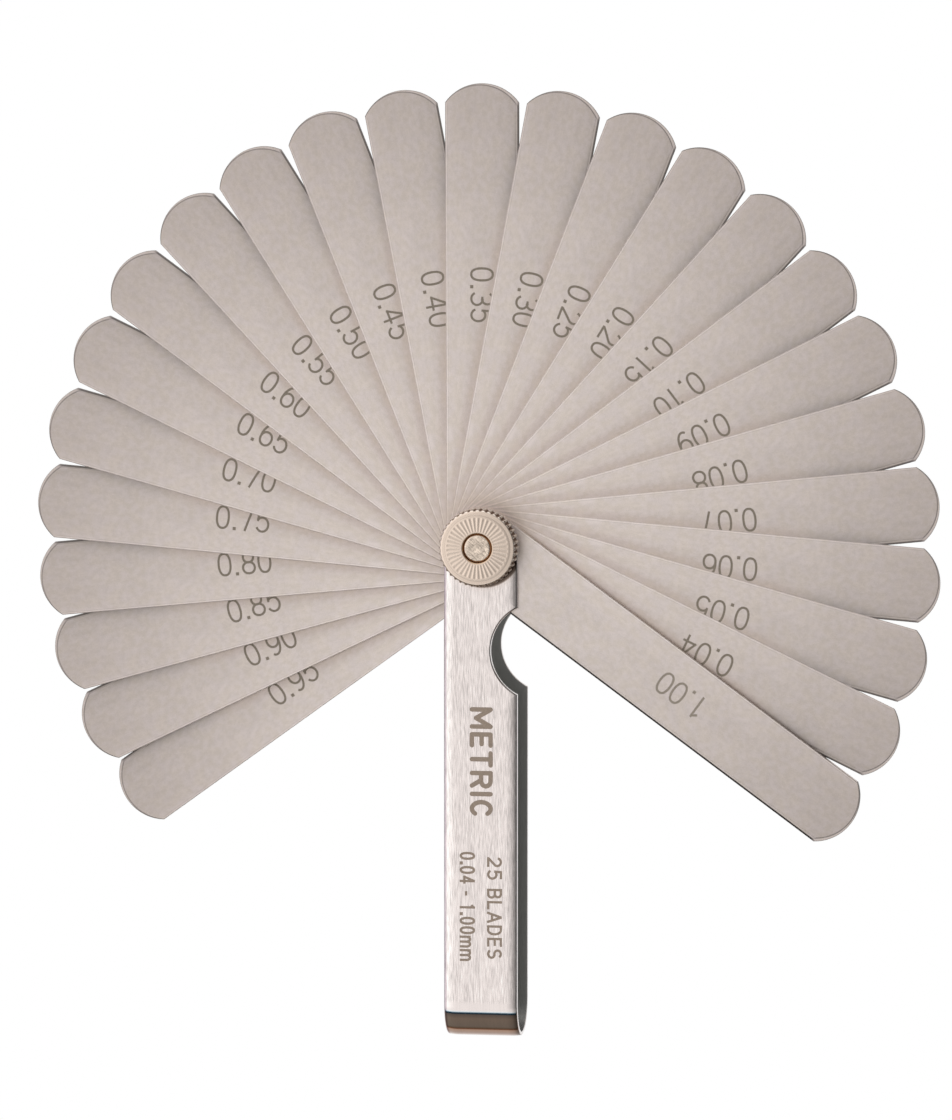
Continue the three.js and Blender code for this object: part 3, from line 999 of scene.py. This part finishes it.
def holder_edge_material():
    material, graph = new_material("holder_cut_edge")
    sheet = graph.attribute("sheet")
    grain = graph.noise(sheet.times((2.0, 2.5, 9.0)), scale=1.0, detail=3.0, rough=0.6)
    shade = grain.ease(over=(0.3, 0.7), to=(0.94, 1.04))
    graph.surface(graph.scale(srgb(238, 233, 231), shade), roughness=0.30, metallic=1.0,
                  normal=graph.bump(grain, strength=0.3, metres=0.00003))
    return material


# ------------------------------------------------------------------ turned parts
def turned_grain(graph, radius, height, ring_depth, grit_depth):
    """Turned rings and grit: (rings, grit, shade round 1)."""
    rings = graph.noise(graph.join(radius * 9.0, height * 6.0, 0.0), scale=1.0, rough=0.6)
    grit = graph.noise(graph.object_mm(), scale=4.5, detail=3.0, rough=0.6)
    shade = (rings.linear(over=(0.3, 0.7), to=(-ring_depth, ring_depth))
             + grit.linear(over=(0.3, 0.7), to=(-grit_depth, grit_depth)) + 1.0)
    return rings, grit, shade


def nickel_material(name, color, roughness, grain, bump):
    material, graph = new_material(name)
    _, radius, height = graph.split(graph.attribute("turned"))
    rings, grit, shade = turned_grain(graph, radius, height, grain, grain)
    graph.surface(graph.scale(color, shade),
                  grit.ease(over=(0.3, 0.7), to=(-0.04, 0.04)) + roughness, metallic=1.0,
                  normal=graph.bump(rings + grit, strength=bump, metres=0.00003))
    return material


# Nut section, from the bore's back end forwards, out over the face and back down the rim.
# Columns: radius, height above the seat, share of the face's flutes, knurl depth.
NUT_PROFILE = [
    (2.56, 0, 0, 0), (2.56, 3.60, 0, 0), (2.58, 3.69, 0, 0), (2.63, 3.745, 0, 0),
    (2.71, 3.785, 0, 0), (2.80, 3.797, 0, 0),
    (2.88, 3.80, 0.3, 0), (3.0, 3.799, 0.8, 0), (3.2, 3.797, 1, 0), (3.6, 3.79, 1, 0),
    (4.0, 3.778, 1, 0), (4.4, 3.762, 1, 0), (4.8, 3.742, 1, 0), (5.1, 3.724, 1, 0),
    (5.26, 3.712, 0.8, 0), (5.38, 3.70, 0.3, 0),
    (5.46, 3.688, 0, 0), (5.56, 3.669, 0, 0), (5.66, 3.650, 0, 0), (5.76, 3.631, 0, 0),
    (5.84, 3.618, 0, 0), (5.90, 3.612, 0, 0), (6.10, 3.601, 0, 0), (6.28, 3.588, 0, 0),
    (6.38, 3.567, 0, 0), (6.46, 3.535, 0, 0),
    (6.53, 3.50, 0, 0.03), (6.61, 3.44, 0, 0.08), (6.69, 3.37, 0, 0.16), (6.77, 3.28, 0, 0.24),
    (6.83, 3.16, 0, 0.30), (6.85, 2.95, 0, 0.32), (6.85, 2.0, 0, 0.32), (6.85, 1.0, 0, 0.32),
    (6.85, 0.55, 0, 0.32), (6.80, 0.38, 0, 0.30), (6.70, 0.26, 0, 0.20), (6.56, 0.16, 0, 0.08),
    (6.40, 0.08, 0, 0), (6.30, 0.03, 0, 0), (6.2, 0, 0, 0),
]
FLUTE_SLOPE = 0.0115                        # flute depth per mm of radius


def build_nut():
    builder = MeshBuilder()
    seat_y = -(OUTER + SEAT)
    angles, _ = circle(TEETH * 12)
    valley = 0.5 - 0.5 * np.cos(TEETH * angles)     # 0 on a crest, 1 in a valley
    radius, height, share, knurl = (column[:, None] for column in np.array(NUT_PROFILE).T)
    radii = radius - knurl * valley
    heights = seat_y - (height - FLUTE_SLOPE * radius * share * valley)
    skin = np.stack([radii * np.cos(angles), heights, radii * np.sin(angles)], -1)
    indices = [[builder.point(skin[i, j], (angles[j], radii[i, j], heights[i, j] - seat_y))
                for j in range(len(angles))] for i in range(len(NUT_PROFILE))]
    # smooth normals from neighbouring points; only the seat is flat-shaded
    around = np.roll(skin, -1, 1) - np.roll(skin, 1, 1)
    onward = unit(np.roll(skin, -1, 0) - skin)
    smooth = unit(np.cross(around, onward + np.roll(onward, 1, 0)))
    for i in range(len(NUT_PROFILE) - 1):
        builder.band((indices[i], smooth[i]), (indices[i + 1], smooth[i + 1]))
    seat = unit(np.cross(around[-1], onward[-1]))
    builder.band((indices[-1], seat), (indices[0], seat))
    builder.turn_outwards()
    return builder.build("vis_lock_nut", [nut_material()], "turned")


def nut_material():
    """Nickel plate, with painted highlights on the crests of the knurl and painted brown shade down
    in its grooves.
    """
    material, graph = new_material("nut_nickel_plate")
    # height is negative here: 0 at the seat, -3.8 on the front face
    angle, radius, height = graph.split(graph.attribute("turned"))
    rings, grit, shade = turned_grain(graph, radius, height, ring_depth=0.03, grit_depth=0.025)
    # painted light and shade on the radial ridges of the face, stronger towards the top and bottom
    # than at the sides
    wave = (angle * float(TEETH)).cosine()
    fluted = (radius.ease(over=(2.85, 3.05)) * radius.ease(over=(5.42, 5.25))
              * height.ease(over=(-3.5, -3.6)))
    ridge_light_contrast = 0.17 + (angle * 2.0 - math.radians(210.0)).cosine() * 0.085
    shade = shade * (1.0 + wave * fluted * ridge_light_contrast)
    # painted shade: a fine dark line at the foot of the step; painted highlight: a brighter chamfer
    # outside the plain band
    line = (abs(radius - 5.74).ease(over=(0.03, 0.11), to=(1.0, 0.0))
            * height.ease(over=(-3.4, -3.5)))
    shade = shade * (1.0 - line * 0.17)
    glint = (radius.ease(over=(6.14, 6.26)) * radius.ease(over=(6.52, 6.44))
             * height.ease(over=(-3.40, -3.50)))
    shade = shade * (1.0 + glint * 0.10)
    # the rim, with painted light: a pale highlight at the front, banded below into painted highlight
    # on the crests and shade in the grooves, and brown painted shade in the valleys and at the
    # corner
    rim = height.ease(over=(-3.56, -3.47)) * radius.ease(over=(5.9, 6.2))
    low = height.ease(over=(-3.34, -3.12)) * rim
    valley = wave.ease(over=(0.05, -0.70)) * rim
    corner = radius.ease(over=(6.60, 6.69)) * height.ease(over=(-3.10, -3.18))
    # painted shade: the bore and its mouth tinted brown, for the gap round the screw
    bore = radius.ease(over=(2.76, 2.68)) * height.ease(over=(-3.81, -3.78))
    banded = graph.mix(wave.ease(over=(0.0, 0.6)), srgb(150, 118, 92), srgb(252, 240, 228))
    color = graph.scale(srgb(213, 195, 180), shade)
    color = graph.mix(rim, color, graph.scale(srgb(250, 238, 226), shade))
    color = graph.mix(low * 0.80, color, banded)
    color = graph.mix(valley, color, srgb(104, 74, 52))
    color = graph.mix(corner * 0.66, color, srgb(104, 76, 56))
    color = graph.mix(bore, color, srgb(206, 174, 142))
    roughness = (height.ease(over=(-3.30, -3.05), to=(0.25, 0.58))
                 + grit.ease(over=(0.3, 0.7), to=(-0.04, 0.04)))
    graph.surface(color, roughness, metallic=height.ease(over=(-3.22, -3.02), to=(1.0, 0.30)),
                  normal=graph.bump(rings + grit, strength=0.08, metres=0.00003))
    return material


def screw_material():
    """Bright plated end face with smears and short scratches."""
    material, graph = new_material("screw_plate")
    place = graph.object_mm()
    x, _, z = graph.split(place)
    # two noises stretched along slanting directions
    slant = graph.join(x * 0.75 + z * -0.66, (x * 0.66 + z * 0.75) * 4.2, 0.0)
    cross = graph.join((x * 0.6 + z * -0.8) * 4.0, x * 0.8 + z * 0.6, 3.0)
    smear = graph.noise(slant, scale=0.9, rough=0.6, distortion=0.3)
    scratch = graph.noise(cross, scale=0.7, rough=0.6, distortion=0.5)
    blot = graph.noise(place, scale=1.1, detail=3.0, rough=0.65, distortion=0.6)
    shade = (smear.ease(over=(0.30, 0.55), to=(0.55, 1.08))
             * scratch.ease(over=(0.28, 0.52), to=(0.76, 1.06))
             * blot.ease(over=(0.35, 0.65), to=(0.80, 1.20)))
    graph.surface(graph.scale(srgb(210, 194, 178), shade), roughness=0.20, metallic=1.0,
                  normal=graph.bump(smear + scratch + blot, strength=0.9, metres=0.00003))
    return material


SCREW_TIP_Y = -(OUTER + SEAT + NUT_HEIGHT - 0.1)
SCREW_HEAD_Y = OUTER + SEAT                 # underside of the head, at the back
HEAD_HEIGHT = 2.0
# Screw section from the tip to the head: (radius, distance behind the tip or the underside)
SCREW_TIP = [(0.0, 0.085), (0.7, 0.076), (1.4, 0.044), (1.9, 0.008), (2.12, 0.0), (2.22, 0.03),
             (2.28, 0.09), (2.42, 0.26), (2.5, 0.36)]
SCREW_HEAD = [(2.5, 0.0), (4.25, 0.0), (4.36, 0.05), (4.4, 0.15), (4.4, 1.55), (4.36, 1.72),
              (4.26, 1.86), (4.12, 1.95), (3.95, HEAD_HEIGHT), (2.5, HEAD_HEIGHT),
              (0.0, HEAD_HEIGHT)]
SHARP_POINTS = (len(SCREW_TIP), len(SCREW_TIP) + 1)     # both ends of the head's underside


def build_screw():
    builder = MeshBuilder()
    profile = [(radius, SCREW_TIP_Y + back) for radius, back in SCREW_TIP]
    profile += [(radius, SCREW_HEAD_Y + back) for radius, back in SCREW_HEAD]
    angles, _ = circle(96)
    rings = []
    for radius, y in profile:
        if radius == 0:
            rings.append([builder.point((0, y, 0), (0, 0, y))] * len(angles))
        else:
            rings.append([builder.point((radius * math.cos(a), y, radius * math.sin(a)),
                                        (a, radius, y)) for a in angles])
    # outward normal of each segment: (radial, axial)
    slopes = [((y1 - y0) / math.hypot(r1 - r0, y1 - y0), -(r1 - r0) / math.hypot(r1 - r0, y1 - y0))
              for (r0, y0), (r1, y1) in zip(profile, profile[1:])]
    last = len(slopes) - 1

    def normal(point, segment, angle):
        """Normal at a profile point seen from one segment, blended unless the point is sharp."""
        if profile[point][0] == 0:
            return (0, -1 if point == 0 else 1, 0)
        radial, axial = slopes[segment]
        if point not in SHARP_POINTS:
            other = slopes[segment - 1 if point == segment else segment + 1]
            radial, axial = radial + other[0], axial + other[1]
        return (radial * math.cos(angle), axial, radial * math.sin(angle))

    for segment in range(len(slopes)):
        for j in range(len(angles)):
            k = (j + 1) % len(angles)
            corners = [(segment, j), (segment, k), (segment + 1, k), (segment + 1, j)]
            if segment == 0:
                del corners[1]
            elif segment == last:
                del corners[3]
            builder.face([rings[point][i] for point, i in corners],
                         [normal(point, segment, angles[i]) for point, i in corners])
    builder.turn_outwards()
    for i, face in enumerate(builder.faces):
        x, y, z = np.mean([builder.points[k] for k in face], 0)
        if math.hypot(x, z) > 2.25 and y < SCREW_TIP_Y + 3.5:
            builder.materials[i] = 1
        elif y > SCREW_HEAD_Y - 1.0:
            builder.materials[i] = 2
    end_face = screw_material()
    # the flank is a browner, darker copy of the plate: painted shade for the narrow gap inside the
    # nut
    flank = nickel_material("screw_flank", srgb(204, 170, 136), roughness=0.45, grain=0.05,
                            bump=0.2)
    head = nickel_material("screw_head_plate", srgb(212, 197, 183), roughness=0.27, grain=0.03,
                           bump=0.08)
    screw = builder.build("vis_pivot_screw", [end_face, flank, head], "turned")
    cut_driver_slot(screw, head)
    return screw


def cut_driver_slot(screw, material):
    """Cut a slot across the head at the back."""
    turn = math.radians(25)
    cosine, sine = math.cos(turn), math.sin(turn)
    half_length, half_width, depth = 6, 0.6, 1.1
    floor_y = SCREW_HEAD_Y + HEAD_HEIGHT - depth
    corners = [(x * half_length * cosine - z * half_width * sine, y,
                x * half_length * sine + z * half_width * cosine)
               for y in (floor_y, SCREW_HEAD_Y + 3.0)
               for x, z in ((-1, -1), (1, -1), (1, 1), (-1, 1))]
    sides = [(0, 1, 2, 3), (4, 7, 6, 5), (0, 4, 5, 1), (1, 5, 6, 2), (2, 6, 7, 3), (3, 7, 4, 0)]
    mesh = bpy.data.meshes.new("slot_cut")
    mesh.from_pydata(to_metres(corners).tolist(), [], sides)
    mesh.materials.append(material)
    mesh.update()
    cutter = link_object("slot_cut", mesh)
    cut = screw.modifiers.new("slot", "BOOLEAN")
    cut.operation = "DIFFERENCE"
    cut.solver = "EXACT"
    cut.object = cutter
    depsgraph = bpy.context.evaluated_depsgraph_get()
    result = bpy.data.meshes.new_from_object(
        screw.evaluated_get(depsgraph), preserve_all_data_layers=True, depsgraph=depsgraph)
    screw.modifiers.clear()
    screw.data = result
    result.name = "vis_pivot_screw"
    for polygon in result.polygons:
        if polygon.center.y * 1000.0 - ORIGIN[1] > SCREW_HEAD_Y - 0.5:
            polygon.material_index = 2
    bpy.data.objects.remove(cutter)


# ------------------------------------------------------------------ build the pieces
def attach(piece, body):
    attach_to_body(piece, body)
    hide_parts(body)


BLADE_MARK = engraving_material("blade_engraving", srgb(148, 137, 123))
FRONT_BLADE_MARK = engraving_material("top_blade_engraving", srgb(168, 157, 144))
HOLDER_MARK = engraving_material("holder_engraving", srgb(172, 155, 140))

front_y = -INNER
cover = None
for thick, angle in BLADES:
    label = f"{thick:.2f}".replace(".", "_")
    body = "blade_" + label
    front_y += BLADE_GAP
    attach(build_blade(label, thick, angle, front_y, cover), body)
    cover = (frame["bodies"][body], angle)
    front_y += thick

attach(build_holder(), "holder")
attach(build_nut(), "lock_nut")
attach(build_screw(), "pivot_screw")

# ------------------------------------------------------------------ studio
def grey(level):
    return (level, level, level)


def lilac(level):
    return (level, level * 0.96, level * 1.08)


# Light round the horizon: (degrees from the front, positive towards +x; colour)
HORIZON = [
    (-180, grey(0.95)), (-130, grey(0.85)), (-100, lilac(0.50)), (-75, lilac(0.45)),
    (-60, grey(1.30)), (-24, grey(1.25)), (-16, grey(1.12)), (-9, grey(1.0)), (-1, grey(0.84)),
    (10, grey(0.68)), (20, grey(0.48)), (30, grey(0.14)), (70, grey(0.12)), (88, grey(0.85)),
    (130, grey(0.95)), (180, grey(0.95)),
]
# Light from below: (degrees down from the front horizon, through straight down, to the back)
BELOW = [
    (0, grey(1.0)), (31.5, grey(1.0)), (34.5, (1.03, 1.12, 1.16)), (36.3, (0.60, 0.80, 0.93)),
    (38.4, (0.02, 0.07, 0.11)), (42.3, (0.006, 0.018, 0.03)), (45, (0.115, 0.096, 0.082)),
    (60, (0.18, 0.145, 0.115)), (92, (0.16, 0.135, 0.11)), (101, (0.11, 0.075, 0.048)),
    (105, (0.17, 0.07, 0.035)), (110, (0.46, 0.33, 0.25)), (130, (0.46, 0.38, 0.34)),
    (150, (0.75, 0.70, 0.67)), (180, grey(0.9)),
]


def studio_group():
    """Light seen along a direction: brightest at the front left, dark at the front right."""
    group = bpy.data.node_groups.new("studio_light", "ShaderNodeTree")
    group.interface.new_socket("Direction", in_out="INPUT", socket_type="NodeSocketVector")
    group.interface.new_socket("Color", in_out="OUTPUT", socket_type="NodeSocketColor")
    graph = Graph(group)
    x, y, z = graph.split(graph.out(graph.node("NodeGroupInput")))
    azimuth = graph.math("ARCTAN2", x, y * -1.0)
    color = graph.ramp((azimuth + math.pi) / (2 * math.pi),
                       [((degrees + 180.0) / 360.0, shade) for degrees, shade in HORIZON])
    color = graph.mix(z.ease(over=(0.55, 0.9)), color, (1.05, 1.05, 1.05, 1.0))
    # a dark brown card above the horizon on the right
    card_height = z.ease(over=(0.22, 0.36)) * z.ease(over=(0.93, 0.84))
    card_width = (azimuth.ease(over=(math.radians(62), math.radians(78)))
                  * azimuth.ease(over=(math.radians(158), math.radians(140))))
    color = graph.mix(card_height * card_width, color, (0.16, 0.115, 0.08, 1.0))
    dip = graph.math("ARCTAN2", z * -1.0, y * -1.0) / math.pi
    below = graph.ramp(graph.math("MAXIMUM", dip, 0.0),
                       [(degrees / 180.0, shade) for degrees, shade in BELOW])
    color = graph.mix(z.ease(over=(-0.30, -0.50)), color, below)
    graph.put(graph.node("NodeGroupOutput").inputs[0], color)
    return group


def studio_light(graph, direction, shader_kind, output_kind):
    """White to the camera, the studio to all other rays."""
    studio = graph.feed(graph.node("ShaderNodeGroup", node_tree=STUDIO), direction)
    to_camera = graph.out(graph.node("ShaderNodeLightPath"), "Is Camera Ray")
    shader = graph.node(shader_kind)
    graph.put(shader.inputs[0], graph.mix(to_camera, studio, (1.0, 1.0, 1.0, 1.0)))
    graph.feed_output(output_kind, shader)


STUDIO = studio_group()
scene = bpy.context.scene
world = bpy.data.worlds.new("studio_world")
scene.world = world
graph = clear_graph(world)
studio_light(graph, graph.out(graph.node("ShaderNodeTexCoord"), "Generated"),
             "ShaderNodeBackground", "ShaderNodeOutputWorld")

FLOOR_HALF, FLOOR_Z = 1.6, -0.060           # metres
floor_mesh = bpy.data.meshes.new("studio_floor")
floor_mesh.from_pydata([(x * FLOOR_HALF, y * FLOOR_HALF, FLOOR_Z)
                        for x, y in ((-1, -1), (1, -1), (1, 1), (-1, 1))], [], [(0, 1, 2, 3)])
floor = link_object("studio_floor", floor_mesh)
floor_material, graph = new_material("floor_white")
incoming = graph.out(graph.node("ShaderNodeNewGeometry"), "Incoming")
studio_light(graph, incoming.times((-1.0, -1.0, -1.0)),
             "ShaderNodeEmission", "ShaderNodeOutputMaterial")
floor_mesh.materials.append(floor_material)

scene.view_settings.view_transform = "Standard"
scene.view_settings.look = "None"

# ------------------------------------------------------------------ camera
AZIMUTH, ELEVATION = math.radians(9.0), math.radians(6.0)
CAMERA_DISTANCE = 1.5                       # metres
LENS = 277.714286                           # mm, on a 36 mm sensor
AIM_RIGHT, AIM_UP = -0.173611, -1.979167    # mm, from the middle of the nut's face

back = Vector((math.sin(AZIMUTH) * math.cos(ELEVATION),
               -math.cos(AZIMUTH) * math.cos(ELEVATION), math.sin(ELEVATION)))
right = Vector((math.cos(AZIMUTH), math.sin(AZIMUTH), 0.0))
up = back.cross(right)
nut_face = Vector(to_metres((0.0, -(OUTER + SEAT + NUT_HEIGHT), 0.0)).tolist())
aim = nut_face + right * (AIM_RIGHT / 1000.0) + up * (AIM_UP / 1000.0)

camera_data = bpy.data.cameras.new("camera")
camera_data.sensor_fit = "AUTO"
camera_data.sensor_width = 36.0
camera_data.lens = LENS
camera_data.clip_start = 0.05
camera_data.clip_end = 50.0
camera = link_object("camera", camera_data)
camera.rotation_mode = "QUATERNION"
camera.location = aim + back * CAMERA_DISTANCE
camera.rotation_quaternion = (-back).to_track_quat("-Z", "Y")
scene.camera = camera
